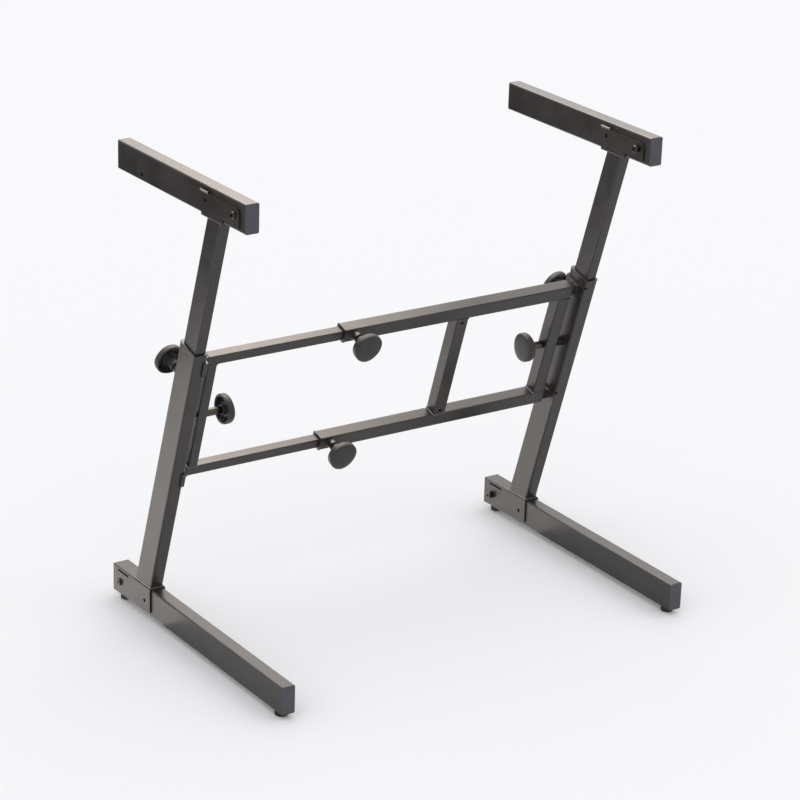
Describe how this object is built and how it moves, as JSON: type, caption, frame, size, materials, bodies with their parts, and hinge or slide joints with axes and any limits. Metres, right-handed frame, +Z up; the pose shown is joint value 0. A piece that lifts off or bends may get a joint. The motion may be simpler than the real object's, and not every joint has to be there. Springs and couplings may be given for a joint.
{
  "type": "folding keyboard stand",
  "caption": "Folding keyboard stand: two leaning telescopic columns with folding feet and folding keyboard arms, joined by a cross-frame that slides to set the width.",
  "frame": {"origin": "on the floor, midway between the two side units and halfway along the feet", "axes": "+X to the right as the player faces the stand from the front, -Y the front, where the feet reach, +Z up"},
  "size_m": [0.85, 0.562, 0.835],
  "materials": {
    "powder_coated_steel": "black powder coat, satin",
    "end_cap_plastic": "moulded, fine matt",
    "bushing_plastic": "moulded, matt",
    "knob_plastic": "moulded, fine texture",
    "foot_rubber": "matt",
    "plated_steel": "black zinc plated",
    "sleeve_steel": "drawn tube, dark zinc plated"
  },
  "bodies": {
    "base_frame": {"right_outer_column": "powder_coated_steel", "right_column_bushing": "bushing_plastic", "right_column_nuts": "powder_coated_steel", "right_foot_bracket": "powder_coated_steel", "right_foot_pivot_bolt": "plated_steel", "right_foot_pivot_nut": "plated_steel", "right_saddles": "powder_coated_steel", "right_upright": "powder_coated_steel", "right_clamp_sleeve": "sleeve_steel", "upper_outer_rail": "powder_coated_steel", "lower_outer_rail": "powder_coated_steel", "middle_brace": "powder_coated_steel", "rail_collars": "bushing_plastic", "rail_nuts": "powder_coated_steel"},
    "left_frame": {"left_outer_column": "powder_coated_steel", "left_column_bushing": "bushing_plastic", "left_column_nuts": "powder_coated_steel", "left_foot_bracket": "powder_coated_steel", "left_foot_pivot_bolt": "plated_steel", "left_foot_pivot_nut": "plated_steel", "left_saddles": "powder_coated_steel", "left_upright": "powder_coated_steel", "left_clamp_sleeve": "sleeve_steel", "upper_inner_rail": "powder_coated_steel", "lower_inner_rail": "powder_coated_steel", "rail_glides": "bushing_plastic"},
    "left_foot": {"left_foot_tube": "powder_coated_steel", "left_foot_end_cap": "end_cap_plastic", "left_rubber_feet": "foot_rubber"},
    "left_post": {"left_inner_column": "powder_coated_steel", "left_inner_glide": "bushing_plastic", "left_arm_bracket": "powder_coated_steel", "left_arm_pivot_bolt": "plated_steel", "left_arm_pivot_nut": "plated_steel"},
    "left_arm": {"left_arm_tube": "powder_coated_steel", "left_arm_end_caps": "end_cap_plastic"},
    "left_height_knob": {"left_height_knob": "knob_plastic", "left_height_stud": "plated_steel"},
    "left_clamp_knob": {"left_clamp_knob": "knob_plastic", "left_clamp_stud": "plated_steel"},
    "right_foot": {"right_foot_tube": "powder_coated_steel", "right_foot_end_cap": "end_cap_plastic", "right_rubber_feet": "foot_rubber"},
    "right_post": {"right_inner_column": "powder_coated_steel", "right_inner_glide": "bushing_plastic", "right_arm_bracket": "powder_coated_steel", "right_arm_pivot_bolt": "plated_steel", "right_arm_pivot_nut": "plated_steel"},
    "right_arm": {"right_arm_tube": "powder_coated_steel", "right_arm_end_caps": "end_cap_plastic"},
    "right_height_knob": {"right_height_knob": "knob_plastic", "right_height_stud": "plated_steel"},
    "right_clamp_knob": {"right_clamp_knob": "knob_plastic", "right_clamp_stud": "plated_steel"},
    "upper_width_knob": {"upper_width_knob": "knob_plastic", "upper_width_stud": "plated_steel"},
    "lower_width_knob": {"lower_width_knob": "knob_plastic", "lower_width_stud": "plated_steel"}
  },
  "joints": [
    {"name": "width_slide", "type": "slide", "parent": "base_frame", "child": "left_frame", "axis": [-1, 0, 0], "range_m": [-0.225, 0.075]},
    {"name": "left_height_slide", "type": "slide", "parent": "left_frame", "child": "left_post", "axis": [0, -0.3007, 0.9537], "range_m": [-0.2, 0.15]},
    {"name": "left_foot_fold", "type": "hinge", "parent": "left_frame", "child": "left_foot", "pos_m": [-0.398, 0.258, 0.034], "axis": [1, 0, 0], "range_deg": [0, 110]},
    {"name": "left_arm_fold", "type": "hinge", "parent": "left_post", "child": "left_arm", "pos_m": [-0.398, -0.11891, 0.81], "axis": [1, 0, 0], "range_deg": [0, 287]},
    {"name": "left_height_knob_turn", "type": "hinge", "parent": "left_frame", "child": "left_height_knob", "pos_m": [-0.398, 0.07343, 0.48329], "axis": [0, 0.9537, 0.3007], "continuous": true},
    {"name": "left_clamp_knob_turn", "type": "hinge", "parent": "left_frame", "child": "left_clamp_knob", "pos_m": [-0.3515, 0.07275, 0.40234], "axis": [1, 0, 0], "continuous": true},
    {"name": "right_height_slide", "type": "slide", "parent": "base_frame", "child": "right_post", "axis": [0, -0.3007, 0.9537], "range_m": [-0.2, 0.15]},
    {"name": "right_foot_fold", "type": "hinge", "parent": "base_frame", "child": "right_foot", "pos_m": [0.398, 0.258, 0.034], "axis": [1, 0, 0], "range_deg": [0, 110]},
    {"name": "right_arm_fold", "type": "hinge", "parent": "right_post", "child": "right_arm", "pos_m": [0.398, -0.11891, 0.81], "axis": [1, 0, 0], "range_deg": [0, 287]},
    {"name": "right_height_knob_turn", "type": "hinge", "parent": "base_frame", "child": "right_height_knob", "pos_m": [0.398, 0.07343, 0.48329], "axis": [0, 0.9537, 0.3007], "continuous": true},
    {"name": "right_clamp_knob_turn", "type": "hinge", "parent": "base_frame", "child": "right_clamp_knob", "pos_m": [0.3445, 0.07275, 0.40234], "axis": [-1, 0, 0], "continuous": true},
    {"name": "upper_width_knob_turn", "type": "hinge", "parent": "base_frame", "child": "upper_width_knob", "pos_m": [-0.085, 0.02594, 0.50921], "axis": [0, -0.9537, -0.3007], "continuous": true},
    {"name": "lower_width_knob_turn", "type": "hinge", "parent": "base_frame", "child": "lower_width_knob", "pos_m": [-0.085, 0.09541, 0.2889], "axis": [0, -0.9537, -0.3007], "continuous": true}
  ]
}
